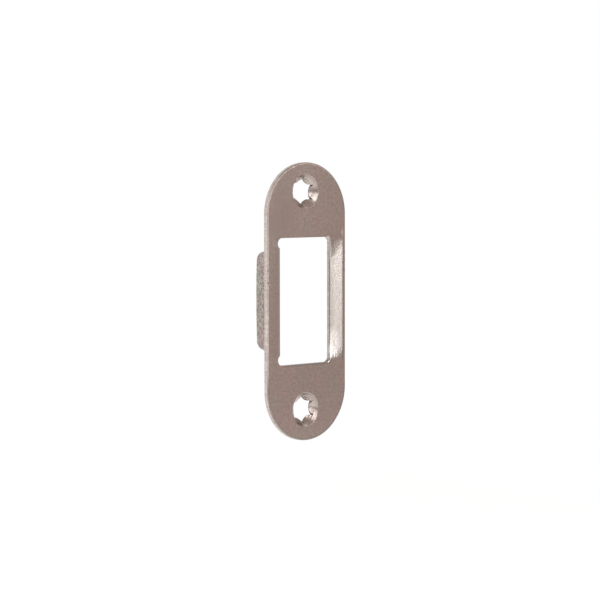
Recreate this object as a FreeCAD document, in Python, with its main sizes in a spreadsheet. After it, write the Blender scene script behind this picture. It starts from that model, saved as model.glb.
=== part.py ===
import FreeCAD, Part
import os
import re

import Sketcher

# Door strike plate, pressed from one piece of sheet steel.
# +Z is up. The back face, which lies on the door jamb, is the plane Y = 0.
# The visible front face looks along -Y, and the bent tab reaches into the jamb along +Y.
# X = 0 and Z = 0 are the middle of the plate's outline. Lengths are in millimetres, angles in degrees.

SIZES = [
    ("plate_width", 24.0, "width of the outline, also the diameter of its round ends"),
    ("plate_length", 64.6, "height of the outline over both round ends"),
    ("sheet", 1.2, "thickness of the sheet"),
    ("edge_round", 0.3, "radius rolled on the front edge of the outline"),
    ("punch_shift", 0.25, "height of the punched features' middle above the outline's middle"),
    ("lead_strip", 4.77, "from the plate's edge to the window's edge on the lead-in side"),
    ("window_height", 29.34, "height of the window"),
    ("window_corner", 1.25, "radius of the window's two outer corners"),
    ("tab_strip", 2.59, "from the plate's edge to the start of the tab's bend"),
    ("bend_radius", 1.3, "inside radius of the tab's bend"),
    ("tab_taper", 14.8, "slope of the tab's upper and lower sides"),
    ("tab_depth", 8.73, "from the front face to the tab's free edge"),
    ("tab_corner", 2.1, "radius of the tab's free corners"),
    ("tab_crown", 220.0, "radius of the tab's slightly bowed free edge"),
    ("relief_radius", 1.27, "radius of the relief notches at both ends of the bend"),
    ("relief_setback", 0.56, "from the start of the bend to the notches' far side"),
    ("notch_turn", 52.0, "angle over which a notch runs on past its far side, to the tab"),
    ("screw_inset", 6.95, "from the ends of the outline to the screw holes"),
    ("screw_offset", 0.55, "from the middle line to the screw holes, towards the tab"),
    ("mouth_diameter", 8.0, "countersink's diameter at the front face"),
    ("countersink_angle", 90.0, "full angle of the countersink's cone"),
    ("lip_rise", 0.55, "how far the pressed lip stands out behind the back face"),
    ("lip_land", 0.15, "height of the pierced wall behind the cone"),
    ("lip_wall", 0.35, "metal left round the points of the pierced hole at the lip's end"),
    ("pierce_point", 1.05, "how far the six points of the pierced hole reach past the cone's foot"),
    ("pierce_waist", 0.06, "how far its six sides stand inwards of the cone's foot"),
    ("pierce_turn_top", 4.0, "clockwise turn of the upper hole's points from straight up"),
    ("pierce_turn_base", -3.0, "clockwise turn of the lower hole's points from straight up"),
    ("ramp_margin", 0.85, "from the plate's edge to the crease where the lead-in starts"),
    ("ramp_depth", 0.35, "depth of the lead-in at the window's edge"),
    ("ramp_crease_top", 0.72, "from the height of the window's top to the crease's upper end"),
    ("ramp_crease_base", 1.07, "from the height of the window's base to the crease's lower end"),
    ("ramp_end_top", 0.37, "from the window's top to the lead-in's upper end at the window"),
    ("ramp_end_base", 0.97, "from the window's base to the lead-in's lower end at the window"),
    ("ramp_full_top", 5.07, "from the window's top to where the full depth starts"),
    ("ramp_full_base", 6.47, "from the window's base to where the full depth starts"),
    ("ramp_blend", 2.8, "length of crease over which each end of the lead-in fades out"),
]

# Places and sizes that follow from the table.
WINDOW_REACH = "(plate_width / 2 - lead_strip)"
BEND_REACH = "(plate_width / 2 - tab_strip)"
TAB_REACH = f"({BEND_REACH} - bend_radius - sheet)"
ROOT_HEIGHT = "(window_height - 2 * relief_radius * (1 + sin(notch_turn * 1deg)))"
NOTCH_REACH = f"({BEND_REACH} - relief_setback - relief_radius)"
SCREW_HEIGHT = "(plate_length / 2 - screw_inset)"
CONE_FOOT = "(mouth_diameter / 2 - (sheet + lip_rise - lip_land) * tan(countersink_angle / 2 * 1deg))"
LIP_END = f"({CONE_FOOT} + pierce_point + lip_wall)"

# The sketcher's numbers for its own two axes and for the points of a curve.
V_AXIS, H_AXIS = range(-2, 0)
START, END, CENTRE = range(1, 4)

doc = FreeCAD.newDocument("door_strike_plate")
sheet = doc.addObject("Spreadsheet::Sheet", "Sizes")
for row, (alias, number, meaning) in enumerate(SIZES, start=1):
    sheet.set(f"A{row}", meaning)
    sheet.set(f"B{row}", str(number))
    sheet.setAlias(f"B{row}", alias)
doc.recompute()

body = doc.addObject("PartDesign::Body", "StrikePlate")
body.Label = "strike_plate"
ORIGIN = {feature.Role: feature for feature in body.Origin.OriginFeatures}


def named(expression):
    """The expression with each size's alias written as the sheet's own cell."""
    aliases = {alias for alias, number, meaning in SIZES}

    def qualify(match):
        word = match.group(0)
        return f"Sizes.{word}" if word in aliases else word

    return re.sub(r"[a-z_]+", qualify, expression)


def value(expression):
    """The number that an expression of sizes gives now."""
    result = sheet.evalExpression(named(expression))
    return float(getattr(result, "Value", result))


def new_sketch(name, plane, offset=("0", "0", "0")):
    """A sketch on one of the body's own planes, moved in that plane's directions."""
    sketch = body.newObject("Sketcher::SketchObject", name)
    sketch.AttachmentSupport = [(ORIGIN[plane], "")]
    sketch.MapMode = "FlatFace"
    for axis, expression in zip("xyz", offset):
        sketch.setExpression(f".AttachmentOffset.Base.{axis}", named(expression))
    return sketch


def point(x, y):
    return FreeCAD.Vector(x, y, 0)


def line(sketch, start, end):
    return sketch.addGeometry(Part.LineSegment(point(*start), point(*end)), False)


def arc(sketch, first, middle, last):
    """An arc through three points, always drawn anticlockwise."""
    turn = (point(*middle) - point(*first)).cross(point(*last) - point(*middle))
    if turn.z < 0:
        first, last = last, first
    return sketch.addGeometry(Part.Arc(point(*first), point(*middle), point(*last)), False)


def tie(sketch, kind, *args):
    sketch.addConstraint(Sketcher.Constraint(kind, *args))


def drive(sketch, kind, args, name, expression):
    """A dimension whose number comes from the sheet."""
    index = sketch.addConstraint(Sketcher.Constraint(kind, *args, value(expression)))
    sketch.renameConstraint(index, name)
    sketch.setExpression(f"Constraints.{name}", named(expression))


def drive_angle(sketch, args, name, expression):
    radians = FreeCAD.Units.Quantity(value(expression), FreeCAD.Units.Angle).getValueAs("rad").Value
    index = sketch.addConstraint(Sketcher.Constraint("Angle", *args, radians))
    sketch.renameConstraint(index, name)
    sketch.setExpression(f"Constraints.{name}", f"({named(expression)}) * 1 deg")


def join(sketch, first, second, tangent=False):
    """Joins two (geometry, end) pairs at their common point, smoothly where tangent."""
    kind = "Tangent" if tangent else "Coincident"
    tie(sketch, kind, first[0], first[1], second[0], second[1])


def end_at(sketch, geometry, target):
    """Which end of this geometry lies at the target point."""
    edge = sketch.Geometry[geometry]
    near_start = edge.StartPoint.distanceToPoint(point(*target))
    near_end = edge.EndPoint.distanceToPoint(point(*target))
    return (geometry, START if near_start < near_end else END)


def settle(feature, grows):
    """Recomputes, then makes sure that the feature added or removed material."""
    before = feature.BaseFeature.Shape.Volume if feature.BaseFeature else 0.0
    doc.recompute()
    change = feature.Shape.Volume - before
    if (change > 0) != grows or change == 0:
        raise RuntimeError(f"{feature.Name} changed the volume by {change:.4f} cubic millimetres")
    return feature


def through_cut(name, sketch):
    """Cuts a closed profile through everything, on both sides of its plane."""
    cut = body.newObject("PartDesign::Pocket", name)
    cut.Profile = sketch
    cut.Type = "ThroughAll"
    cut.SideType = "Symmetric"
    return settle(cut, grows=False)


# Flat blank: a long outline with fully round ends.
half_width = value("plate_width / 2")
end_centre = value("(plate_length - plate_width) / 2")
top_point = (0, end_centre + half_width)
base_point = (0, -end_centre - half_width)

outline = new_sketch("OutlineSketch", "XZ_Plane")
upper_end = arc(outline, (half_width, end_centre), top_point, (-half_width, end_centre))
left_side = line(outline, (-half_width, end_centre), (-half_width, -end_centre))
lower_end = arc(outline, (-half_width, -end_centre), base_point, (half_width, -end_centre))
right_side = line(outline, (half_width, -end_centre), (half_width, end_centre))
for curve in (upper_end, lower_end):
    for side in (left_side, right_side):
        target_z = end_centre if curve == upper_end else -end_centre
        target_x = -half_width if side == left_side else half_width
        corner = (target_x, target_z)
        join(outline, end_at(outline, curve, corner), end_at(outline, side, corner), tangent=True)
tie(outline, "PointOnObject", upper_end, CENTRE, V_AXIS)
tie(outline, "Symmetric", upper_end, CENTRE, lower_end, CENTRE, H_AXIS, START)
tie(outline, "Equal", upper_end, lower_end)
drive(outline, "Radius", (upper_end,), "EndRadius", "plate_width / 2")
drive(
    outline,
    "DistanceY",
    (lower_end, CENTRE, upper_end, CENTRE),
    "EndSpacing",
    "plate_length - plate_width",
)

blank = body.newObject("PartDesign::Pad", "Blank")
blank.Profile = outline
blank.setExpression("Length", named("sheet"))
settle(blank, grows=True)

# The punch rolls the front edge of the outline.
front = value("0 - sheet")
front_edges = []
for number, edge in enumerate(blank.Shape.Edges, start=1):
    if all(abs(vertex.Y - front) < 1e-6 for vertex in edge.Vertexes):
        front_edges.append(f"Edge{number}")
rolled_edge = body.newObject("PartDesign::Fillet", "RolledEdge")
rolled_edge.Base = (blank, front_edges)
rolled_edge.setExpression("Radius", named("edge_round"))
settle(rolled_edge, grows=False)

# Window for the latch bolt. On the tab's side it runs back to the start of the bend,
# and a round relief notch ends the bend at the top and at the bottom.
right = value(WINDOW_REACH)
half_height = value("window_height / 2")
corner_radius = value("window_corner")
relief = value("relief_radius")
relief_x = -value(NOTCH_REACH)
relief_z = half_height - relief
bend_x = -value(BEND_REACH)
half_root = value(f"{ROOT_HEIGHT} / 2")
notch_x = relief_x - value("relief_radius * cos(notch_turn * 1deg)")
diagonal = corner_radius * 0.5**0.5

window = new_sketch("WindowSketch", "XZ_Plane", ("0", "punch_shift", "0"))
right_edge = line(window, (right, -half_height + corner_radius), (right, half_height - corner_radius))
bend_edge = line(window, (bend_x, half_root), (bend_x, -half_root))
parts_of_side = {}
for side in (1, -1):
    top_right = (right - corner_radius, side * half_height)
    right_top = (right, side * (half_height - corner_radius))
    corner_middle = (
        right - corner_radius + diagonal,
        side * (half_height - corner_radius + diagonal),
    )
    relief_top = (relief_x, side * half_height)
    relief_far = (relief_x - relief, side * relief_z)
    notch_end = (notch_x, side * half_root)
    bend_end = (bend_x, side * half_root)

    corner = arc(window, right_top, corner_middle, top_right)
    long_edge = line(window, top_right, relief_top)
    notch = arc(window, relief_top, relief_far, notch_end)
    shelf = line(window, notch_end, bend_end)
    parts_of_side[side] = (corner, long_edge, notch, shelf)

    join(window, end_at(window, right_edge, right_top), end_at(window, corner, right_top), True)
    join(window, end_at(window, corner, top_right), end_at(window, long_edge, top_right), True)
    join(window, end_at(window, long_edge, relief_top), end_at(window, notch, relief_top), True)
    join(window, end_at(window, notch, notch_end), end_at(window, shelf, notch_end))
    join(window, end_at(window, shelf, bend_end), end_at(window, bend_edge, bend_end))
    tie(window, "Horizontal", long_edge)
    tie(window, "Horizontal", shelf)
corner, long_edge, notch, shelf = parts_of_side[1]
low_corner, low_edge, low_notch, low_shelf = parts_of_side[-1]
tie(window, "Equal", corner, low_corner)
tie(window, "Equal", notch, low_notch)
tie(window, "Symmetric", right_edge, START, right_edge, END, H_AXIS)
tie(window, "Symmetric", bend_edge, START, bend_edge, END, H_AXIS)
tie(window, "Vertical", notch, CENTRE, low_notch, CENTRE)
drive(window, "Radius", (corner,), "CornerRadius", "window_corner")
drive(window, "Radius", (notch,), "NotchRadius", "relief_radius")
drive(window, "DistanceX", (H_AXIS, START, right_edge, START), "RightEdge", WINDOW_REACH)
drive(
    window,
    "DistanceY",
    (low_edge, START, long_edge, START),
    "Height",
    "window_height",
)
drive(
    window,
    "DistanceX",
    (notch, CENTRE, H_AXIS, START),
    "NotchPlace",
    NOTCH_REACH,
)
drive(window, "DistanceY", (bend_edge, END, bend_edge, START), "RootHeight", ROOT_HEIGHT)
drive(
    window,
    "DistanceX",
    (bend_edge, START, H_AXIS, START),
    "BendStart",
    BEND_REACH,
)
through_cut("Window", window)

# Tab: the sheet turns through a right angle round the bend and runs straight back.
inner = value("bend_radius")
outer = value("bend_radius + sheet")
tab_end = value("tab_depth - sheet")
slant = 0.5**0.5
tab_profile = new_sketch("TabSketch", "XY_Plane", ("0", "0", "punch_shift"))
outer_bend = arc(
    tab_profile,
    (bend_x, inner - outer),
    (bend_x + outer * slant, inner - outer * slant),
    (bend_x + outer, inner),
)
inner_bend = arc(
    tab_profile,
    (bend_x, 0),
    (bend_x + inner * slant, inner - inner * slant),
    (bend_x + inner, inner),
)
inside_face = line(tab_profile, (bend_x + outer, inner), (bend_x + outer, tab_end))
free_edge = line(tab_profile, (bend_x + outer, tab_end), (bend_x + inner, tab_end))
outside_face = line(tab_profile, (bend_x + inner, tab_end), (bend_x + inner, inner))
root_face = line(tab_profile, (bend_x, 0), (bend_x, inner - outer))
meeting_points = [
    (outer_bend, inside_face, (bend_x + outer, inner), True),
    (inside_face, free_edge, (bend_x + outer, tab_end), False),
    (free_edge, outside_face, (bend_x + inner, tab_end), False),
    (outside_face, inner_bend, (bend_x + inner, inner), True),
    (inner_bend, root_face, (bend_x, 0), False),
    (root_face, outer_bend, (bend_x, inner - outer), False),
]
for one, other, place, smooth in meeting_points:
    first_end = end_at(tab_profile, one, place)
    join(tab_profile, first_end, end_at(tab_profile, other, place), smooth)
tie(tab_profile, "Vertical", inside_face)
tie(tab_profile, "Vertical", outside_face)
tie(tab_profile, "Horizontal", free_edge)
tie(tab_profile, "Vertical", root_face)
tie(tab_profile, "Coincident", outer_bend, CENTRE, inner_bend, CENTRE)
tie(tab_profile, "PointOnObject", root_face, START, H_AXIS)
tie(tab_profile, "Vertical", root_face, START, inner_bend, CENTRE)
drive(tab_profile, "Radius", (inner_bend,), "InsideRadius", "bend_radius")
drive(tab_profile, "Radius", (outer_bend,), "OutsideRadius", "bend_radius + sheet")
drive(
    tab_profile,
    "DistanceX",
    (inside_face, END, H_AXIS, START),
    "TabPlace",
    TAB_REACH,
)
drive(
    tab_profile,
    "DistanceY",
    (H_AXIS, START, inside_face, END),
    "TabEnd",
    "tab_depth - sheet",
)

tab = body.newObject("PartDesign::Pad", "Tab")
tab.Profile = tab_profile
tab.SideType = "Symmetric"
tab.setExpression("Length", named(ROOT_HEIGHT))
settle(tab, grows=True)

# The tab narrows from the bend to its free edge, whose corners are round and whose
# middle is slightly bowed. The waste round that outline is cut away.
taper = value("tan(tab_taper * 1deg)")
crown = value("tab_crown")
round_corner = value("tab_corner")
waste_z = half_root + relief
waste_y = tab_end + relief
bow_centre = tab_end - crown
# The corner's circle touches the slanting side and the bowed edge from the inside.
side_length = (1 + taper**2) ** 0.5
corner_y = tab_end - round_corner
corner_z = half_root - taper * (corner_y - inner) - round_corner * side_length
touch_side = (
    corner_y + round_corner * taper / side_length,
    corner_z + round_corner / side_length,
)
touch_bow = (tab_end - corner_z**2 / (2 * crown), corner_z)
corner_middle = (corner_y + round_corner * slant, corner_z + round_corner * slant)

trim = new_sketch("TabTrimSketch", "YZ_Plane", ("0", "punch_shift", "0"))
far_side = line(trim, (waste_y, -waste_z), (waste_y, waste_z))
bow = arc(trim, (touch_bow[0], -touch_bow[1]), (tab_end, 0), touch_bow)
trim_parts = {}
for side in (1, -1):
    root_corner = (inner, side * half_root)
    waste_inner = (inner, side * waste_z)
    waste_outer = (waste_y, side * waste_z)
    slant_end = (touch_side[0], side * touch_side[1])
    bow_end = (touch_bow[0], side * touch_bow[1])
    middle = (corner_middle[0], side * corner_middle[1])

    slanting = line(trim, root_corner, slant_end)
    rounding = arc(trim, slant_end, middle, bow_end)
    step = line(trim, root_corner, waste_inner)
    edge = line(trim, waste_inner, waste_outer)
    trim_parts[side] = (slanting, rounding, step, edge)

    join(trim, end_at(trim, slanting, slant_end), end_at(trim, rounding, slant_end), True)
    join(trim, end_at(trim, rounding, bow_end), end_at(trim, bow, bow_end), True)
    join(trim, end_at(trim, slanting, root_corner), end_at(trim, step, root_corner))
    join(trim, end_at(trim, step, waste_inner), end_at(trim, edge, waste_inner))
    join(trim, end_at(trim, edge, waste_outer), end_at(trim, far_side, waste_outer))
    tie(trim, "Vertical", step)
    tie(trim, "Horizontal", edge)
slanting, rounding, step, edge = trim_parts[1]
low_slanting, low_rounding, low_step, low_edge = trim_parts[-1]
tie(trim, "Symmetric", far_side, START, far_side, END, H_AXIS)
tie(trim, "Symmetric", slanting, START, low_slanting, START, H_AXIS)
tie(trim, "Equal", rounding, low_rounding)
tie(trim, "Equal", slanting, low_slanting)
tie(trim, "PointOnObject", bow, CENTRE, H_AXIS)
drive(trim, "DistanceX", (H_AXIS, START, slanting, START), "BendEnd", "bend_radius")
drive(
    trim,
    "DistanceY",
    (low_slanting, START, slanting, START),
    "RootHeight",
    ROOT_HEIGHT,
)
drive_angle(trim, (slanting,), "SideSlope", "0 - tab_taper")
drive(trim, "Radius", (rounding,), "CornerRadius", "tab_corner")
drive(trim, "Radius", (bow,), "BowRadius", "tab_crown")
drive(
    trim,
    "DistanceX",
    (bow, CENTRE, H_AXIS, START),
    "BowCentre",
    "tab_crown - tab_depth + sheet",
)
drive(
    trim,
    "DistanceX",
    (H_AXIS, START, far_side, START),
    "WasteDepth",
    "tab_depth - sheet + relief_radius",
)
drive(
    trim,
    "DistanceY",
    (far_side, START, far_side, END),
    "WasteHeight",
    f"{ROOT_HEIGHT} + 2 * relief_radius",
)
through_cut("TabTrim", trim)

# Lead-in for the latch bolt: the front face is pressed down from a crease to the window's
# edge, and the dip fades out towards the window's two corners.
# Its cutting form is ruled between two profiles that stand across the plate: one at the
# crease, where the depth is nil, and one past the window's edge.
crease_place = ("0", "punch_shift", "plate_width / 2 - ramp_margin")
dip_place = ("0", "punch_shift", f"{WINDOW_REACH} - window_corner")
crease = new_sketch("CreaseSketch", "YZ_Plane", crease_place)
dip = new_sketch("DipSketch", "YZ_Plane", dip_place)
widen = "(1 + window_corner / (lead_strip - ramp_margin))"
crease_top = "(window_height / 2 - ramp_crease_top)"
crease_base = "(window_height / 2 - ramp_crease_base)"


def six_sided(sketch, deep, top, top_full, base_full, base):
    """A closed profile that stands off the front face by the sheet's thickness and dips
    into it by the deep expression between top_full and base_full."""
    above = value("0 - 2 * sheet")
    bottom = front + value(deep)
    corners = [
        (above, value(top)),
        (front, value(top)),
        (bottom, value(top_full)),
        (bottom, -value(base_full)),
        (front, -value(base)),
        (above, -value(base)),
    ]
    edges = []
    for here, there in zip(corners, corners[1:] + corners[:1]):
        edges.append(line(sketch, here, there))
    for one, other in zip(edges, edges[1:] + edges[:1]):
        tie(sketch, "Coincident", one, END, other, START)
    tie(sketch, "Horizontal", edges[0])
    tie(sketch, "Vertical", edges[2])
    tie(sketch, "Horizontal", edges[4])
    tie(sketch, "Vertical", edges[5])
    drive(sketch, "DistanceX", (edges[0], START, H_AXIS, START), "Above", "2 * sheet")
    drive(sketch, "DistanceX", (edges[0], END, H_AXIS, START), "UpperFace", "sheet")
    drive(sketch, "DistanceX", (edges[4], START, H_AXIS, START), "LowerFace", "sheet")
    drive(sketch, "DistanceX", (edges[2], START, H_AXIS, START), "Bottom", f"sheet - {deep}")
    drive(sketch, "DistanceY", (H_AXIS, START, edges[0], END), "Top", top)
    drive(sketch, "DistanceY", (H_AXIS, START, edges[1], END), "TopFull", top_full)
    drive(sketch, "DistanceY", (edges[3], START, H_AXIS, START), "BaseFull", base_full)
    drive(sketch, "DistanceY", (edges[4], START, H_AXIS, START), "Base", base)


six_sided(
    crease,
    "0",
    crease_top,
    f"{crease_top} - ramp_blend",
    f"{crease_base} - ramp_blend",
    crease_base,
)
six_sided(
    dip,
    f"ramp_depth * {widen}",
    f"{crease_top} + (ramp_crease_top - ramp_end_top) * {widen}",
    f"{crease_top} - ramp_blend - (ramp_full_top - ramp_crease_top - ramp_blend) * {widen}",
    f"{crease_base} - ramp_blend - (ramp_full_base - ramp_crease_base - ramp_blend) * {widen}",
    f"{crease_base} + (ramp_crease_base - ramp_end_base) * {widen}",
)
lead_in = body.newObject("PartDesign::SubtractiveLoft", "LeadIn")
lead_in.Profile = crease
lead_in.Sections = [dip]
lead_in.Ruled = True
settle(lead_in, grows=False)

# Screw holes. Each is a pressed countersink, which leaves a low lip behind the back face.
hole_place = ("0 - screw_offset", "0", f"punch_shift + {SCREW_HEIGHT}")


def turned_profile(name, corners):
    """A closed profile of lines beside the screw's axis, which is its own vertical axis.
    Its first and last corner lie on the axis."""
    sketch = new_sketch(name, "XY_Plane", hole_place)
    edges = []
    for here, there in zip(corners, corners[1:] + corners[:1]):
        edges.append(line(sketch, here, there))
    for one, other in zip(edges, edges[1:] + edges[:1]):
        tie(sketch, "Coincident", one, END, other, START)
    tie(sketch, "Horizontal", edges[0])
    tie(sketch, "Horizontal", edges[2])
    tie(sketch, "PointOnObject", edges[0], START, V_AXIS)
    tie(sketch, "PointOnObject", edges[3], START, V_AXIS)
    return sketch, edges


lip_height = value("lip_rise")
lip_tip = value(LIP_END)
lip_sketch, lip_edges = turned_profile(
    "LipSketch",
    [(0, 0), (lip_tip + lip_height, 0), (lip_tip, lip_height), (0, lip_height)],
)
tie(lip_sketch, "PointOnObject", lip_edges[0], END, H_AXIS)
drive(lip_sketch, "DistanceX", (lip_edges[0], START, lip_edges[0], END), "Base", f"{LIP_END} + lip_rise")
drive(lip_sketch, "DistanceX", (lip_edges[2], END, lip_edges[2], START), "Tip", LIP_END)
drive(lip_sketch, "DistanceY", (H_AXIS, START, lip_edges[2], START), "Rise", "lip_rise")
lip = body.newObject("PartDesign::Revolution", "Lip")
lip.Profile = lip_sketch
lip.ReferenceAxis = (lip_sketch, ["V_Axis"])
lip.Angle = 360
settle(lip, grows=True)

cone_foot_y = value("lip_rise - lip_land")
mouth = value("mouth_diameter / 2")
foot = value(CONE_FOOT)
cone_sketch, cone_edges = turned_profile(
    "CountersinkSketch",
    [(0, front), (mouth, front), (foot, cone_foot_y), (0, cone_foot_y)],
)
drive(cone_sketch, "DistanceX", (cone_edges[0], START, cone_edges[0], END), "Mouth", "mouth_diameter / 2")
drive(cone_sketch, "DistanceY", (cone_edges[0], START, H_AXIS, START), "Face", "sheet")
drive(cone_sketch, "DistanceY", (H_AXIS, START, cone_edges[2], START), "Foot", "lip_rise - lip_land")
drive_angle(cone_sketch, (cone_edges[1],), "ConeAngle", "90 + countersink_angle / 2")
countersink = body.newObject("PartDesign::Groove", "Countersink")
countersink.Profile = cone_sketch
countersink.ReferenceAxis = (cone_sketch, ["V_Axis"])
countersink.Angle = 360
settle(countersink, grows=False)

screw_cones = body.newObject("PartDesign::LinearPattern", "ScrewCones")
screw_cones.Originals = [lip, countersink]
screw_cones.Direction = (ORIGIN["Z_Axis"], [""])
screw_cones.Reversed = True
screw_cones.Occurrences = 2
screw_cones.setExpression("Length", named(f"2 * {SCREW_HEIGHT}"))
body.Tip = screw_cones
doc.recompute()

# Each hole was pierced with six points before it was pressed. The points stay as cusps, and
# the metal between them has moved inwards in six bowed sides.
point_radius = foot + value("pierce_point")
waist_radius = foot - value("pierce_waist")


def pierce(name, height, turn):
    """Cuts a six-pointed hole at this height, with its points turned clockwise."""
    star = new_sketch(f"{name}Sketch", "XZ_Plane", ("0 - screw_offset", height, "0"))

    def polar(radius, sixths):
        """A point at this radius, so many sixths of a turn clockwise from the first point."""
        angle = -60 * sixths - value(turn)
        turned = FreeCAD.Rotation(FreeCAD.Vector(0, 0, 1), angle).multVec(point(0, radius))
        return (turned.x, turned.y)

    def guide(shape):
        return star.addGeometry(shape, True)

    upwards = FreeCAD.Vector(0, 0, 1)
    point_circle = guide(Part.Circle(point(0, 0), upwards, point_radius))
    waist_circle = guide(Part.Circle(point(0, 0), upwards, waist_radius))
    for circle, label, expression in (
        (point_circle, "PointRadius", f"{CONE_FOOT} + pierce_point"),
        (waist_circle, "WaistRadius", f"{CONE_FOOT} - pierce_waist"),
    ):
        tie(star, "Coincident", circle, CENTRE, H_AXIS, START)
        drive(star, "Radius", (circle,), label, expression)

    sides = []
    chords = []
    for index in range(6):
        here = polar(point_radius, index)
        there = polar(point_radius, index + 1)
        sides.append(arc(star, here, polar(waist_radius, index + 0.5), there))
        chords.append(guide(Part.LineSegment(point(*here), point(*there))))
    for index in range(6):
        here = polar(point_radius, index)
        join(star, end_at(star, sides[index - 1], here), end_at(star, sides[index], here))
        join(star, end_at(star, chords[index], here), end_at(star, sides[index], here))
        join(star, end_at(star, chords[index - 1], here), end_at(star, sides[index], here))
        tie(star, "PointOnObject", chords[index], START, point_circle)
    for index in range(1, 6):
        tie(star, "Equal", chords[0], chords[index])
        tie(star, "Equal", sides[0], sides[index])
    tie(star, "Tangent", sides[0], waist_circle)

    spoke = guide(Part.LineSegment(point(0, 0), point(*polar(point_radius, 0))))
    tie(star, "Coincident", spoke, START, H_AXIS, START)
    tie(star, "Coincident", spoke, END, chords[0], START)
    drive_angle(star, (spoke,), "Turn", f"90 - {turn}")
    through_cut(name, star)


pierce("UpperHole", f"punch_shift + {SCREW_HEIGHT}", "pierce_turn_top")
pierce("LowerHole", f"punch_shift - {SCREW_HEIGHT}", "pierce_turn_base")

failed = [item.Name for item in doc.Objects if {"Invalid", "Error"} & set(item.State)]
if failed:
    raise RuntimeError(f"failed objects: {failed}")
shape = body.Shape
if shape.isNull() or not shape.isValid() or len(shape.Solids) != 1:
    raise RuntimeError("the strike plate isn't one valid solid")
loose = [item.Name for item in doc.Objects if item.TypeId == "Sketcher::SketchObject" and item.solve()]
if loose:
    raise RuntimeError(f"sketches that don't solve: {loose}")

os.makedirs("parts", exist_ok=True)
shape.exportStep(f"parts/{body.Label}.step")
box = shape.optimalBoundingBox()
print(f"{body.Label}: {shape.Volume:.2f} mm3, {box.XLength:.2f} x {box.YLength:.2f} x {box.ZLength:.2f} mm")
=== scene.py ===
import math
from types import SimpleNamespace

import bmesh
import bpy
from mathutils import Matrix, Vector


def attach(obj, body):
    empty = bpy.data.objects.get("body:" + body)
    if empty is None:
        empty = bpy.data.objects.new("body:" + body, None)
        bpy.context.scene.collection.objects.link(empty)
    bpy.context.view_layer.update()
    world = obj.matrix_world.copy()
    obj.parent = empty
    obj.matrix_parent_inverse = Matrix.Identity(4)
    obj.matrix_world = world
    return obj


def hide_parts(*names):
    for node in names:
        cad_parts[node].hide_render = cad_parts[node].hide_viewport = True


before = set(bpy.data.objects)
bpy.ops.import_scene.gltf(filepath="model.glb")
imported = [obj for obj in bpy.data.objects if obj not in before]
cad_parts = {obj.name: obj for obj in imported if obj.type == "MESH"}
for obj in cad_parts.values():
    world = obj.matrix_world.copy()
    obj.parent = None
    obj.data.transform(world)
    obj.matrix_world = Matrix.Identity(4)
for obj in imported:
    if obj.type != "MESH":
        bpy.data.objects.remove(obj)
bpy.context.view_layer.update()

# The camera stands where the photograph's stood, to the left of the plate's front. The lens and
# the sensor are in millimetres, the places and distances in metres.
SENSOR_MM = 36.0
LENS_MM = 113.912
CAMERA_TARGET = Vector((-0.002197, -0.0012, 0.000523))
CAMERA_DISTANCE = 0.438909
CAMERA_FORWARD = Vector((0.65409784, 0.75366088, -0.06443046))
CAMERA_RIGHT = Vector((0.75517321, -0.65552395, -0.00132847))
NEAR_CLIP = 0.01
FAR_CLIP = 20.0

# The light. A softbox has an azimuth and an elevation in degrees, a distance, a width and a
# height in metres, and a level, 1 being the brightness of white.
SOFTBOXES = {
    "key": (-40, 30, 1.0, 0.5, 0.8, 1.9),
    "low_card": (-49, -17, 1.0, 0.45, 0.28, 0.8),
    "left_card": (-96, 0, 1.0, 1.2, 1.2, 1.0),
    "high_card": (80, 50, 1.0, 0.5, 0.4, 0.52),
    "panel_low": (27.0, -4.6, 2.0, 0.56, 0.335, 1.12),
    "panel_high": (27.6, 6.15, 2.0, 0.62, 0.435, 3.6),
}
WHITE = (1.0, 1.0, 1.0)
ROOM_COLOUR = (0.52, 0.42, 0.385)

# The stage, in metres. Its glow is what the camera and the metal see.
FLOOR_SIZE = 1.9
FLOOR_PLACE = (0.0, 0.0, -0.25)
FLOOR_COLOUR = (0.85, 0.85, 0.85)
FLOOR_GLOW = 0.6
BACKDROP_SIZE = 4.0
BACKDROP_PLACE = (0.0, 1.5, 0.5)
BACKDROP_GLOW = 0.5

# The plate, in millimetres, as in the CAD source. Heights of punched features are measured from
# the punched middle, which lies PUNCH_SHIFT above the plate's own.
MM = 0.001
FRONT_Y = -1.2
HALF_WIDTH = 12.0
END_CENTRE = 20.3
PUNCH_SHIFT = 0.25
HOLE_X = -0.55
HOLE_RISE = 25.35
MOUTH_RADIUS = 4.0

# The lead-in: places across the plate, and for each end the heights where it starts and where
# it is full, both at the crease and at the window's edge.
CREASE_X = 11.15
WINDOW_X = 7.23
DEPTH = 0.35
FLAT_ENDS = {"top": ((13.95, 14.3), (11.15, 9.6)), "base": ((13.6, 13.7), (10.8, 8.2))}
SCOOPED_ENDS = {"top": ((15.4, 15.4), (12.4, 9.2)), "base": ((13.6, 14.0), (9.4, 7.6))}
BASE_STEEPNESS = 3
ROLL_DEPTH = 0.06
ROLL_WIDTH = 0.5
CORNER_WIDTH = 1.15
LEAD_IN_LEFT = 6.0
LEAD_IN_REACH = 16.2

# Where the mesh is cut so that it can bend: axis, first and last place, and step.
GRIDS = (
    (0, 6.05, 11.65, 0.35),
    (0, WINDOW_X + 0.1, WINDOW_X + 0.5, 0.1),
    (2, -16.1, 16.1, 0.7),
    (2, -13.65, -10.15, 0.7),
)

# Edges: how far they are softened, in millimetres, and the folds that tell them apart, in
# degrees. The distances at which points merge are in metres.
SOFT_EDGE = 0.06
SOFT_STEPS = 2
MOUTH_ROUND = 0.06
MOUTH_STEPS = 4
FLAT_FOLD = 0.3
MOUTH_FOLD = 30.0
SHARP_FOLD = 40.0
SHEARED_FOLD = 50.0
MERGE_DISTANCE = 1e-6
CUT_DISTANCE = 1e-7
TINY_EDGE = 5e-7
NORMAL_WEIGHT = 50

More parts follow.
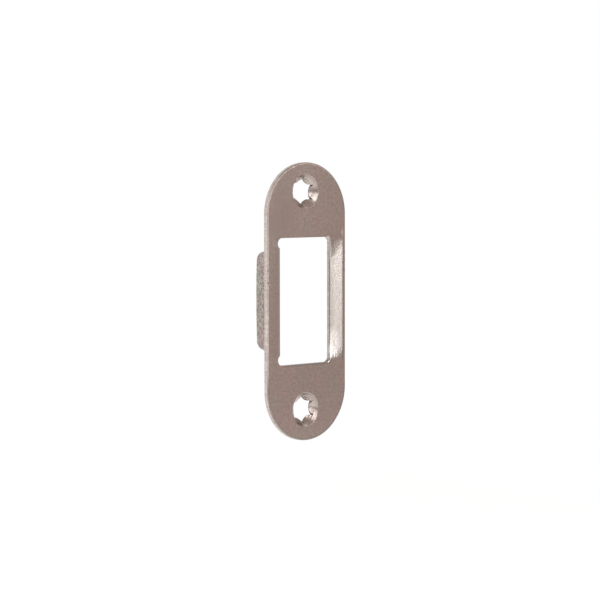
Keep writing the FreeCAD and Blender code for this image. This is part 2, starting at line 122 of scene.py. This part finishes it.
# Places, in millimetres, where sheared edges are not softened.
HOLE_ZONE = 4.6
ROLLED_INSET = 0.6
ROLLED_Y = -0.8
BEND_RIGHT = -7.0
BEND_BACK = 0.5
BEND_ENDS = (11.5, 14.0)
MOUTH_SLACK = 0.05

# Noise in the metal: scale per millimetre, detail, stretch and shift.
EVEN = (1.0, 1.0, 1.0)
NOISES = {
    "broad": (0.12, 3.0, EVEN, 0.0),
    "film": (0.35, 4.0, (1.0, 1.0, 0.6), 31.0),
    "grain": (2.6, 3.0, EVEN, 7.0),
    "fine": (6.0, 2.0, EVEN, 3.0),
    "mottle": (1.2, 3.0, EVEN, 17.0),
    "rolled": (2.2, 2.0, (1.0, 1.0, 0.06), 11.0),
    "drawn": (3.4, 3.0, (1.0, 1.0, 0.2), 13.0),
    "shear": (2.4, 2.0, (1.0, 0.25, 1.0), 5.0),
    "stain": (0.22, 3.0, EVEN, 41.0),
    "tab": (1.6, 6.0, EVEN, 23.0),
    "rim_wear_and_sheen": (1.1, 3.0, (1.0, 1.0, 0.5), 19.0),
    "wobble": (0.8, 1.0, EVEN, 29.0),
}
NOISE_ROUGHNESS = 0.55
NOISE_MEAN = 0.5
TURNED_SCALE = 2.4
TURNED_DETAIL = 1.0
WOBBLE = 0.25

# Where each mask is 0 and where it is 1.
FADES = {
    # By how squarely a face looks forward or back, 1 being square.
    "wall": (0.60, 0.25),
    "cone_face": (0.92, 0.82),
    "crease_face": (0.45, 0.80),
    "pit_face": (0.45, 0.75),
    # By depth, in millimetres, like all the places below.
    "in_front": (-0.2, -0.6),
    "behind": (0.10, 0.60),
    "border_depth": (-0.90, -1.05),
    "pit_depth": (-0.8, -1.0),
    # By place across the plate.
    "tab_side": (-5.6, -6.0),
    "bend_left": (-9.6, -8.4),
    "bend_right": (-5.0, -5.4),
    "lead_in_left": (6.9, 7.6),
    "lead_in_right": (11.35, 11.0),
    "window_edge_shade": (9.1, 7.4),
    "crease_left": (10.75, 10.98),
    "crease_right": (11.45, 11.2),
    "upper_left_side": (0.0, -8.0),
    "border_side": (4.0, 9.0),
    "sill_width": (9.5, 9.0),
    "under_window_width": (8.0, 6.5),
    # By height from the punched middle.
    "bend_height": (14.0, 12.0),
    "lead_in_height": (14.6, 13.4),
    # By height from the plate's middle.
    "crease_height": (15.0, 13.0),
    "upper_left_height": (12.0, 20.0),
    "border_height": (-14.0, -21.0),
    "dent_height": (-20.0, -21.0),
    # By height from SILL_Z or UNDER_WINDOW_Z, below.
    "sill_height": (0.6, 0.4),
    "under_window_height": (0.4, 0.15),
    # By distance from the outline.
    "rim": (0.55, 0.10),
    "outline": (1.0, 0.5),
    "border_shade": (0.55, 0.35),
    "rough_rim": (0.5, 0.25),
    # By distance from a screw hole's middle, then by height over it, then by place beside it.
    "cone": (4.4, 4.3),
    "pierced": (3.75, 3.55),
    "cone_edge_shade": (3.1, 4.0),
    "cone_edge_shade_rise": (-1.6, 0.4),
    "cone_upper_shade_rise": (-2.8, -1.4),
    "dent_right": (0.5, 2.0),
    # By distance from an oval mark's middle, 1 being its edge.
    "spot": (1.0, 0.35),
    # By the value of a noise.
    "broad": (0.35, 0.65),
    "film": (0.42, 0.58),
    "speckle": (0.40, 0.60),
    "crinkle": (0.43, 0.57),
    "burnish_and_highlight": (0.2, 0.52),
    "wall_shear": (0.35, 0.70),
    "rim_shear": (0.38, 0.62),
    "stain": (0.42, 0.60),
    "tab_grain": (0.38, 0.62),
    "rim_wear_and_sheen": (0.50, 0.68),
}
SILL_Z = -14.4
UNDER_WINDOW_Z = -14.6

# Oval marks: the middle's place across and up the plate, and half its width and height.
BURNISH_AND_HIGHLIGHT_SPOT = (8.3, -10.3, 2.6, 5.0)
SCOOP_SHADE_SPOT = (8.5, 10.5, 1.3, 2.2)
CONE_SHADE_SPOT = (2.6, 26.0, 1.5, 0.9)
CHIP_GLINT_SPOTS = ((11.0, 16.0, 0.35, 1.0), (-4.1, 31.1, 0.35, 0.35))
PIT_SPOTS = (
    (-11.75, 4.8, 0.35, 0.45),
    (-11.25, 4.1, 0.3, 0.35),
    (-11.7, 7.5, 0.25, 0.4),
    (11.85, 7.1, 0.45, 0.5),
    (11.75, 11.4, 0.25, 0.5),
    (11.8, 9.6, 0.25, 0.35),
)

# Colours of the bare metal, in pairs that a noise mixes.
PAIRS = {
    "broad": ((0.485, 0.430, 0.404), (0.515, 0.460, 0.436)),
    "film": ((0.540, 0.440, 0.432), (0.470, 0.462, 0.405)),
    "speckle": ((0.41, 0.360, 0.334), (0.595, 0.540, 0.516)),
    "wall": ((0.38, 0.345, 0.325), (0.52, 0.475, 0.45)),
    "rim": ((0.48, 0.422, 0.390), (0.60, 0.545, 0.512)),
    "tab_dark": ((0.22, 0.180, 0.170), (0.22, 0.202, 0.172)),
    "tab_light": ((0.49, 0.410, 0.390), (0.48, 0.448, 0.393)),
}
FILM_SHARE = 0.6
SPECKLE_SHARE = 0.4
TAB_SHARE = 0.6
SIDE_BORDER = 0.6

# Marks and tints on it, some of them painted shade and highlights: how strongly each one covers
# the metal, and its colour.
# The colour of the painted shade lines along the rim, the crease and the window's lower edge.
SHADE_LINE_COLOUR = (0.20, 0.180, 0.165)
PAINTS = {
    "bend": (0.9, (0.57, 0.565, 0.530)),
    "lead_in": (0.8, (0.495, 0.468, 0.450)),
    "scuff": (0.5, (0.40, 0.378, 0.364)),
    "window_edge_shade": (0.5, (0.29, 0.272, 0.260)),
    "burnish_and_highlight": (0.75, (0.69, 0.665, 0.65)),
    "upper_left_darkening": (0.6, (0.41, 0.365, 0.342)),
    "sill_shade": (0.8, (0.14, 0.122, 0.112)),
    "border_shade": (0.7, SHADE_LINE_COLOUR),
    "crease": (0.5, SHADE_LINE_COLOUR),
    "scoop": (0.35, (0.27, 0.25, 0.235)),
    "under_window_shade": (0.3, SHADE_LINE_COLOUR),
    "chip_glints": (0.7, (0.85, 0.82, 0.80)),
    "cone_upper_shade": (0.15, (0.33, 0.30, 0.28)),
    "cone_edge_shade": (0.6, (0.25, 0.22, 0.205)),
    "cone_shade": (0.6, (0.22, 0.200, 0.190)),
    "pierced": (0.85, (0.16, 0.145, 0.135)),
    "rim_wear_and_sheen": (0.5, (0.74, 0.70, 0.68)),
    "pits": (0.7, (0.13, 0.11, 0.10)),
}

# Roughness over the smoothest metal's, and relief in millimetres.
SMOOTHEST = 0.115
ROUGHNESS = {"grain": 0.05, "wall": 0.12, "tab": 0.12, "cone": 0.08, "rim": 0.18}
RELIEF = {
    "grain": 0.005,
    "fine": 0.0010,
    "rolled": 0.0030,
    "lead_in_grain": 0.010,
    "lead_in_drawn": 0.012,
    "tab_grain": 0.02,
    "turned": 0.11,
    "cone_grain": 0.03,
    "dent": 0.15,
    "pits": -0.06,
}
DENT_SPREAD = -0.35


def add_camera():
    data = bpy.data.cameras.new("camera")
    data.sensor_width = SENSOR_MM
    data.lens = LENS_MM
    data.clip_start = NEAR_CLIP
    data.clip_end = FAR_CLIP
    camera = bpy.data.objects.new("camera", data)
    bpy.context.scene.collection.objects.link(camera)
    forward = CAMERA_FORWARD.normalized()
    right = CAMERA_RIGHT.normalized()
    up = right.cross(forward)
    turn = Matrix((right, up, -forward)).transposed()
    place = Matrix.Translation(CAMERA_TARGET - CAMERA_DISTANCE * forward)
    camera.matrix_world = place @ turn.to_4x4()
    bpy.context.scene.camera = camera


def direction(azimuth, elevation):
    """From the plate towards a light. Azimuth 0 is straight in front, 90 to the plate's right."""
    a, e = math.radians(azimuth), math.radians(elevation)
    return Vector((math.sin(a) * math.cos(e), -math.cos(a) * math.cos(e), math.sin(e)))


def add_softbox(name, azimuth, elevation, distance, width, height, level):
    """A rectangular lamp that faces the plate."""
    data = bpy.data.lights.new(name, "AREA")
    data.shape = "RECTANGLE"
    data.size = width
    data.size_y = height
    data.energy = level * math.pi * width * height
    lamp = bpy.data.objects.new(name, data)
    bpy.context.scene.collection.objects.link(lamp)
    towards = direction(azimuth, elevation)
    lamp.location = towards * distance
    lamp.rotation_mode = "QUATERNION"
    lamp.rotation_quaternion = towards.to_track_quat("Z", "Y")


class Nodes:
    """Short calls for building a node tree. A value is a number, a tuple or a socket."""

    def __init__(self, tree):
        self.tree = tree
        tree.nodes.clear()

    def add(self, kind, settings=None, **inputs):
        node = self.tree.nodes.new("ShaderNode" + kind)
        for key, value in (settings or {}).items():
            setattr(node, key, value)
        for key, value in inputs.items():
            self.set(node, key.replace("_", " "), value)
        return node

    def set(self, node, key, value):
        numbered = key[0] == "i" and key[1:].isdigit()
        socket = node.inputs[int(key[1:])] if numbered else node.inputs[key]
        if isinstance(value, bpy.types.NodeSocket):
            self.tree.links.new(value, socket)
        elif socket.type == "RGBA":
            socket.default_value = (*value, 1.0)
        else:
            socket.default_value = value

    def math(self, operation, *values):
        node = self.tree.nodes.new("ShaderNodeMath")
        node.operation = operation
        for index, value in enumerate(values):
            self.set(node, f"i{index}", value)
        return node.outputs[0]

    def product(self, first, *others):
        for other in others:
            first = self.math("MULTIPLY", first, other)
        return first

    def greatest(self, first, *others):
        for other in others:
            first = self.math("MAXIMUM", first, other)
        return first

    def total(self, start, weights, **values):
        """Start, and each value times the weight of the same name."""
        for name, value in values.items():
            start = self.math("MULTIPLY_ADD", value, weights[name], start)
        return start

    def average(self, first, second, share=0.5):
        return self.math("MULTIPLY_ADD", first, share, self.math("MULTIPLY", second, 1.0 - share))

    def apart(self, value, middle):
        return self.math("ABSOLUTE", self.math("SUBTRACT", value, middle))

    def length(self, across, along):
        return self.math(
            "SQRT", self.math("MULTIPLY_ADD", across, across, self.math("MULTIPLY", along, along)))

    def fade(self, name, value):
        """Smoothly from 0 to 1 between the two places that FADES gives."""
        node = self.tree.nodes.new("ShaderNodeMapRange")
        node.interpolation_type = "SMOOTHSTEP"
        low, high = FADES[name]
        for key, number in (("Value", value), ("From Min", low), ("From Max", high)):
            self.set(node, key, number)
        return node.outputs[0]

    def mix(self, factor, first, second):
        node = self.tree.nodes.new("ShaderNodeMix")
        node.data_type = "RGBA"
        self.set(node, "i0", factor)
        self.set(node, "i6", first)
        self.set(node, "i7", second)
        return node.outputs[2]

    def paint(self, name, colour, mask):
        """Colour, with the named mark on it where the mask is."""
        share, mark = PAINTS[name]
        return self.mix(self.math("MULTIPLY", mask, share), colour, mark)

    def seen(self):
        """1 for what the camera or the metal sees, and 0 for light that falls on the scene."""
        path = self.add("LightPath")
        return self.greatest(path.outputs["Is Camera Ray"], path.outputs["Is Glossy Ray"])


def add_world():
    world = bpy.data.worlds.new("studio")
    bpy.context.scene.world = world
    world.use_nodes = True
    n = Nodes(world.node_tree)
    seen = n.add("LightPath").outputs["Is Camera Ray"]
    level = n.mix(seen, ROOM_COLOUR, WHITE)
    background = n.add("Background", Color=level, Strength=1.0)
    n.add("OutputWorld", Surface=background.outputs[0])


class MetalNodes(Nodes):
    """Node calls that know where a point lies on the plate, in millimetres."""

    def __init__(self, tree):
        super().__init__(tree)
        here = self.add("TexCoord").outputs["Object"]
        self.place = self.add("Mapping", Vector=here, Scale=(1.0 / MM,) * 3).outputs[0]
        self.x, self.y, self.z = self.add("SeparateXYZ", Vector=self.place).outputs[:3]
        normal = self.add("NewGeometry").outputs["Normal"]
        across_sheet = self.add("SeparateXYZ", Vector=normal).outputs[1]
        self.facing = self.math("ABSOLUTE", across_sheet)

    def noise(self, name):
        """Smooth noise whose features are about 1 / scale millimetres wide, from 0 to 1."""
        scale, detail, stretch, shift = NOISES[name]
        moved = self.add("Mapping", Vector=self.place, Scale=stretch, Location=(shift,) * 3)
        texture = self.add("TexNoise", Vector=moved.outputs[0], Scale=scale, Detail=detail,
                           Roughness=NOISE_ROUGHNESS)
        return texture.outputs["Fac"]

    def spot(self, at_x, at_z, half_width, half_height):
        """1 in the middle of an oval mark, and 0 outside it."""
        across = self.math("DIVIDE", self.math("SUBTRACT", self.x, at_x), half_width)
        along = self.math("DIVIDE", self.math("SUBTRACT", self.z, at_z), half_height)
        return self.fade("spot", self.length(across, along))


def surface_masks(n):
    """Where each kind of surface is, and how far a point lies from the outline and the holes."""
    m = SimpleNamespace()
    m.wall = n.fade("wall", n.facing)
    m.in_front = n.fade("in_front", n.y)
    m.tab = n.product(n.fade("behind", n.y), n.fade("tab_side", n.x))

    past_end_centre = n.math("SUBTRACT", n.math("ABSOLUTE", n.z), END_CENTRE)
    end_height = n.math("MAXIMUM", past_end_centre, 0.0)
    m.inset = n.math("SUBTRACT", HALF_WIDTH, n.length(n.x, end_height))
    m.rim = n.fade("rim", m.inset)

    m.height = n.apart(n.z, PUNCH_SHIFT)
    m.hole_x = n.math("SUBTRACT", n.x, HOLE_X)
    m.hole_z = n.math("SUBTRACT", m.height, HOLE_RISE)
    m.from_hole = n.length(m.hole_x, m.hole_z)
    m.cone = n.product(n.fade("cone", m.from_hole), n.fade("cone_face", n.facing))
    m.pierced = n.product(n.fade("pierced", m.from_hole), m.wall)

    m.lead_in = n.product(
        n.fade("lead_in_left", n.x), n.fade("lead_in_right", n.x),
        n.fade("lead_in_height", m.height), m.in_front)

    pits = n.greatest(*(n.spot(*mark) for mark in PIT_SPOTS))
    m.pits = n.product(pits, n.fade("pit_face", n.facing), n.fade("pit_depth", n.y))
    return m


def flat_colour(n, m, grain, drawn):
    """The flat sheet and the lead-in: film, speckle, scuffs, a burnished patch made lighter by a
    painted highlight, painted shade beside the window's edge, and a darker upper left.
    """
    colour = n.mix(n.fade("broad", n.noise("broad")), *PAIRS["broad"])
    film = n.mix(n.fade("film", n.noise("film")), *PAIRS["film"])
    colour = n.mix(FILM_SHARE, colour, film)
    dark, light = (n.mix(SPECKLE_SHARE, colour, speck) for speck in PAIRS["speckle"])
    speckle = n.average(n.noise("mottle"), grain)
    colour = n.mix(n.fade("speckle", speckle), dark, light)
    bend = n.product(
        n.fade("bend_left", n.x), n.fade("bend_right", n.x), n.fade("bend_height", m.height))
    colour = n.paint("bend", colour, bend)

    colour = n.paint("lead_in", colour, m.lead_in)
    crinkle = n.average(drawn, grain)
    colour = n.paint("scuff", colour, n.product(m.lead_in, n.fade("crinkle", crinkle)))
    # Painted shade on the lead-in beside the window's edge, where its rolled-over edge turns away
    # from the light.
    colour = n.paint("window_edge_shade", colour, n.product(m.lead_in, n.fade("window_edge_shade", n.x)))
    # A burnished patch at the lead-in's lower end, made lighter still as a painted highlight.
    burnish_and_highlight = n.product(m.lead_in, n.spot(*BURNISH_AND_HIGHLIGHT_SPOT), n.fade("burnish_and_highlight", drawn))
    colour = n.paint("burnish_and_highlight", colour, burnish_and_highlight)
    # Darker towards the plate's upper left.
    upper_left_darkening = n.product(n.fade("upper_left_side", n.x), n.fade("upper_left_height", n.z))
    return n.paint("upper_left_darkening", colour, upper_left_darkening)


def wall_colour(n, m):
    """The sheared walls, and the lighter edge of the outline."""
    shear = n.noise("shear")
    wall = n.mix(n.fade("wall_shear", shear), *PAIRS["wall"])
    rim = n.mix(n.fade("rim_shear", shear), *PAIRS["rim"])
    return n.mix(n.fade("outline", m.inset), wall, rim)


def border_shade_mask(n, m):
    """A painted shade line just inside the outline, where the rolled edge turns away, at the
    plate's base and along its right side.
    """
    side = n.math("MULTIPLY", n.fade("border_side", n.x), SIDE_BORDER)
    where = n.greatest(n.fade("border_height", n.z), side)
    return n.product(n.fade("border_shade", m.inset), n.fade("border_depth", n.y), where)


def edge_marks(n, m, colour, border_shade):
    """Painted shade: dark lines along the window, the rim and the crease, and a shaded patch on
    the lead-in's upper end; and two painted glints on small chips.
    """
    # Painted shade: a dark line on the window's bottom wall.
    sill_shade = n.product(
        n.fade("sill_height", n.apart(n.z, SILL_Z)),
        n.fade("sill_width", n.math("ABSOLUTE", n.x)), m.wall)
    colour = n.paint("sill_shade", colour, sill_shade)
    # Painted shade along the rolled edge of the outline.
    colour = n.paint("border_shade", colour, border_shade)
    # Painted shade along the lead-in's crease.
    crease = n.product(
        n.fade("crease_left", n.x), n.fade("crease_right", n.x),
        n.fade("crease_face", n.facing),
        n.fade("crease_height", n.math("ABSOLUTE", n.z)), m.in_front)
    colour = n.paint("crease", colour, crease)
    # Painted shade on the lead-in's scooped upper end.
    colour = n.paint("scoop", colour, n.product(n.spot(*SCOOP_SHADE_SPOT), m.in_front))
    # Painted shade: a dark line on the front face just under the window.
    under_window_shade = n.product(
        n.fade("under_window_height", n.apart(n.z, UNDER_WINDOW_Z)),
        n.fade("under_window_width", n.math("ABSOLUTE", n.x)), m.in_front)
    colour = n.paint("under_window_shade", colour, under_window_shade)
    # Two painted glints, on small chips at the crease and near the top end.
    chip_glints = n.greatest(*(n.spot(*mark) for mark in CHIP_GLINT_SPOTS))
    return n.paint("chip_glints", colour, n.product(chip_glints, m.in_front))


def cone_marks(n, m, colour):
    """Painted shade towards the upper side of each countersink, deeper near its mouth, and a
    painted shaded patch on the right of the upper countersink.
    """
    rise = n.math("MULTIPLY", m.hole_z, n.math("SIGN", n.z))
    colour = n.paint("cone_upper_shade", colour, n.product(m.cone, n.fade("cone_upper_shade_rise", rise)))
    # Painted shade near the mouth of each countersink, on its upper side.
    edge = n.product(m.cone, n.fade("cone_edge_shade_rise", rise), n.fade("cone_edge_shade", m.from_hole))
    colour = n.paint("cone_edge_shade", colour, edge)
    return n.paint("cone_shade", colour, n.product(m.cone, n.spot(*CONE_SHADE_SPOT)))


def tab_colour(n, grain):
    """The tab's coarse grain, in two hues."""
    stain = n.fade("stain", n.noise("stain"))
    dark, light = (n.mix(stain, *PAIRS[name]) for name in ("tab_dark", "tab_light"))
    coarse = n.average(n.noise("tab"), grain, TAB_SHARE)
    return n.mix(n.fade("tab_grain", coarse), dark, light)


def metal_colour(n, m, grain, drawn):
    border_shade = border_shade_mask(n, m)
    colour = flat_colour(n, m, grain, drawn)
    colour = n.mix(m.wall, colour, wall_colour(n, m))
    colour = edge_marks(n, m, colour, border_shade)
    colour = cone_marks(n, m, colour)
    colour = n.mix(m.tab, colour, tab_colour(n, grain))
    colour = n.paint("pierced", colour, m.pierced)
    off_border = n.math("SUBTRACT", 1.0, border_shade)
    # Lighter along the outline's rim: worn edges, and a painted highlight on the rolled front
    # edge.
    worn_rim_and_sheen = n.product(m.rim, n.fade("rim_wear_and_sheen", n.noise("rim_wear_and_sheen")), off_border)
    colour = n.paint("rim_wear_and_sheen", colour, worn_rim_and_sheen)
    return n.paint("pits", colour, m.pits)


def metal_relief(n, m, grain, drawn):
    """Grain everywhere, turning marks in the cones, an uneven lower cone and a few pits."""
    level_grain = n.math("SUBTRACT", grain, NOISE_MEAN)
    level_drawn = n.math("SUBTRACT", drawn, NOISE_MEAN)
    ring = n.math("MULTIPLY_ADD", n.noise("wobble"), WOBBLE, m.from_hole)
    turned = n.add("TexNoise", {"noise_dimensions": "1D"}, W=ring, Scale=TURNED_SCALE,
                   Detail=TURNED_DETAIL).outputs["Fac"]
    below_mouth = n.math("SUBTRACT", MOUTH_RADIUS, m.from_hole)
    near_middle = n.math("EXPONENT", n.product(m.hole_z, m.hole_z, DENT_SPREAD))
    dent = n.product(
        below_mouth, m.cone, n.fade("dent_right", m.hole_x), n.fade("dent_height", n.z),
        m.hole_z, near_middle)
    return n.total(
        0.0, RELIEF, grain=grain, fine=n.noise("fine"), rolled=n.noise("rolled"),
        lead_in_grain=n.product(m.lead_in, level_grain),
        lead_in_drawn=n.product(m.lead_in, level_drawn),
        tab_grain=n.product(m.tab, level_grain), turned=n.product(m.cone, turned),
        cone_grain=n.product(m.cone, grain), dent=dent, pits=m.pits)


def nickel():
    """Satin nickel over pressed steel: fine grain, duller sheared walls, a grainy tab, turned
    marks in the screw cones, small worn marks on the lead-in and along the edges, and painted
    highlights, glints and shade in its colour."""
    material = bpy.data.materials.new("satin_nickel")
    material.use_nodes = True
    n = MetalNodes(material.node_tree)
    m = surface_masks(n)
    grain, drawn = n.noise("grain"), n.noise("drawn")
    rough = n.total(
        SMOOTHEST, ROUGHNESS, grain=grain, wall=m.wall, tab=m.tab, cone=m.cone,
        rim=n.fade("rough_rim", m.inset))
    bump = n.add("Bump", Height=metal_relief(n, m, grain, drawn), Strength=1.0, Distance=MM)
    shader = n.add("BsdfPrincipled", Metallic=1.0, Roughness=rough, Normal=bump.outputs[0])
    n.set(shader, "Base Color", metal_colour(n, m, grain, drawn))
    n.add("OutputMaterial", Surface=shader.outputs[0])
    return material


def clamped(value):
    return min(1.0, max(0.0, value))


def lerp(pair, share):
    return pair[0] + (pair[1] - pair[0]) * share


def end_of(z):
    return "top" if z > PUNCH_SHIFT else "base"


def lead_in_share(x):
    """How far x lies from the crease, 0, towards the window's edge, 1."""
    return clamped((CREASE_X - x) / (CREASE_X - WINDOW_X))


def lead_in_fade(x, z, ends):
    """How far the lead-in has faded in at a height, from 0 past its ends to 1 in the middle."""
    share = lead_in_share(x)
    start, full = (lerp(pair, share) for pair in ends[end_of(z)])
    return clamped((start - abs(z - PUNCH_SHIFT)) / (start - full))


def flat_depth(x, z):
    """The depth of the CAD solid's lead-in, whose two ends are flat faces."""
    return DEPTH * lead_in_share(x) * lead_in_fade(x, z, FLAT_ENDS)


def scoop(fade, end):
    """The bowed profile of a scooped end, from 0 to 1. The base's is the steeper one."""
    return fade * (3.0 - fade) / 2.0 if end == "top" else 1.0 - (1.0 - fade) ** BASE_STEEPNESS


def roll_over(x):
    """How far the window's edge is drawn down beside the lead-in by the punch."""
    return ROLL_DEPTH * clamped(1.0 - (x - WINDOW_X) / ROLL_WIDTH) ** 2


def round_depth(x, z):
    """The depth of the finished lead-in, whose two ends are scooped. It fades out past the
    window's edge, across the window's corners."""
    corner = clamped(1.0 - (WINDOW_X - x) / CORNER_WIDTH)
    bow = scoop(lead_in_fade(x, z, SCOOPED_ENDS), end_of(z))
    return (DEPTH * lead_in_share(x) + roll_over(x)) * corner * bow


def cut_grid(bm, axis, first, last, step):
    """Cuts the mesh along evenly spaced planes, so that it can bend there."""
    normal = Vector((0.0, 0.0, 0.0))
    normal[axis] = 1.0
    for index in range(int(round((last - first) / step)) + 1):
        place = normal * (first + step * index) * MM
        parts = bm.verts[:] + bm.edges[:] + bm.faces[:]
        bmesh.ops.bisect_plane(bm, geom=parts, dist=CUT_DISTANCE, plane_co=place, plane_no=normal)


def fold(edge):
    """The angle between an edge's two faces, in degrees, or 0 where it has not got two."""
    return math.degrees(edge.calc_face_angle(0.0)) if len(edge.link_faces) == 2 else 0.0


def is_sheared(point):
    """Whether a point lies on a sheared edge of the outline, window or tab. The rolled front
    edge, the bend's two ends and the pierced holes stay as they are."""
    height = abs(point.z - PUNCH_SHIFT)
    at_hole = math.hypot(point.x - HOLE_X, height - HOLE_RISE) < HOLE_ZONE
    inset = HALF_WIDTH - math.hypot(point.x, max(0.0, abs(point.z) - END_CENTRE))
    rolled = inset < ROLLED_INSET and point.y < ROLLED_Y
    at_bend = point.x < BEND_RIGHT and point.y < BEND_BACK
    bend_end = at_bend and BEND_ENDS[0] < height < BEND_ENDS[1]
    return not (at_hole or rolled or bend_end)


def is_mouth(edge):
    """Whether an edge lies on the circle where a countersink meets the front face."""
    middle = (edge.verts[0].co + edge.verts[1].co) / (2.0 * MM)
    away = math.hypot(middle.x - HOLE_X, abs(middle.z - PUNCH_SHIFT) - HOLE_RISE)
    return abs(away - MOUTH_RADIUS) < MOUTH_SLACK and middle.y < FRONT_Y + MOUTH_SLACK


def soften(bm, edges, width, steps):
    bmesh.ops.bevel(
        bm, geom=edges, offset=width * MM, offset_type="OFFSET", segments=steps, profile=0.5,
        affect="EDGES", clamp_overlap=False)


def press_lead_in(bm):
    """Turns the lead-in's flat ends into scooped ones, and keeps the front face in its plane."""
    for v in bm.verts:
        x, y, z = v.co / MM
        if LEAD_IN_LEFT < x < CREASE_X and abs(z) < LEAD_IN_REACH:
            squeeze = (FRONT_Y + round_depth(x, z)) / (FRONT_Y + flat_depth(x, z))
            v.co.y = y * squeeze * MM
        v.co.y = max(v.co.y, FRONT_Y * MM)


def dressed_plate(node):
    """A finer copy of the CAD solid, with softened edges and a rounded lead-in."""
    bm = bmesh.new()
    bm.from_mesh(node.data)
    bmesh.ops.remove_doubles(bm, verts=bm.verts, dist=MERGE_DISTANCE)
    bmesh.ops.dissolve_limit(
        bm, angle_limit=math.radians(FLAT_FOLD), verts=bm.verts, edges=bm.edges)
    sheared = [e for e in bm.edges if fold(e) > SHEARED_FOLD and is_sheared(e.verts[0].co / MM)]
    soften(bm, sheared, SOFT_EDGE, SOFT_STEPS)
    mouths = [e for e in bm.edges if fold(e) > MOUTH_FOLD and is_mouth(e)]
    soften(bm, mouths, MOUTH_ROUND, MOUTH_STEPS)
    for grid in GRIDS:
        cut_grid(bm, *grid)
    press_lead_in(bm)
    bmesh.ops.dissolve_degenerate(bm, dist=TINY_EDGE, edges=bm.edges)
    bm.normal_update()
    for f in bm.faces:
        f.smooth = True
    for e in bm.edges:
        e.smooth = fold(e) < SHARP_FOLD
    mesh = bpy.data.meshes.new("dressed_plate")
    bm.to_mesh(mesh)
    bm.free()
    plate = bpy.data.objects.new("dressed_plate", mesh)
    bpy.context.scene.collection.objects.link(plate)
    weighted = plate.modifiers.new("flat_faces_stay_flat", "WEIGHTED_NORMAL")
    weighted.keep_sharp = True
    weighted.weight = NORMAL_WEIGHT
    return plate


def add_plane(name, material_name, **place):
    """A stage plane with a new material, and the calls that build its nodes."""
    bpy.ops.mesh.primitive_plane_add(**place)
    plane = bpy.context.object
    plane.name = name
    material = bpy.data.materials.new(material_name)
    material.use_nodes = True
    plane.data.materials.append(material)
    return plane, Nodes(material.node_tree)


def add_stage():
    floor, n = add_plane("floor", "pale_floor", size=FLOOR_SIZE, location=FLOOR_PLACE)
    diffuse = n.add("BsdfDiffuse", Color=FLOOR_COLOUR)
    strength = n.math("MULTIPLY", n.seen(), FLOOR_GLOW)
    glow = n.add("Emission", Color=WHITE, Strength=strength)
    both = n.add("AddShader", i0=diffuse.outputs[0], i1=glow.outputs[0])
    n.add("OutputMaterial", Surface=both.outputs[0])

    backdrop, n = add_plane(
        "backdrop", "white_backdrop", size=BACKDROP_SIZE, location=BACKDROP_PLACE,
        rotation=(math.pi / 2, 0.0, 0.0))
    strength = n.math("MULTIPLY_ADD", n.seen(), 1.0 - BACKDROP_GLOW, BACKDROP_GLOW)
    glow = n.add("Emission", Color=WHITE, Strength=strength)
    n.add("OutputMaterial", Surface=glow.outputs[0])


add_camera()
add_world()
add_stage()
for name, softbox in SOFTBOXES.items():
    add_softbox(name, *softbox)

plate = dressed_plate(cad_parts["strike_plate"])
plate.data.materials.append(nickel())
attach(plate, "root")
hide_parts("strike_plate")

bpy.context.scene.view_settings.view_transform = "Standard"
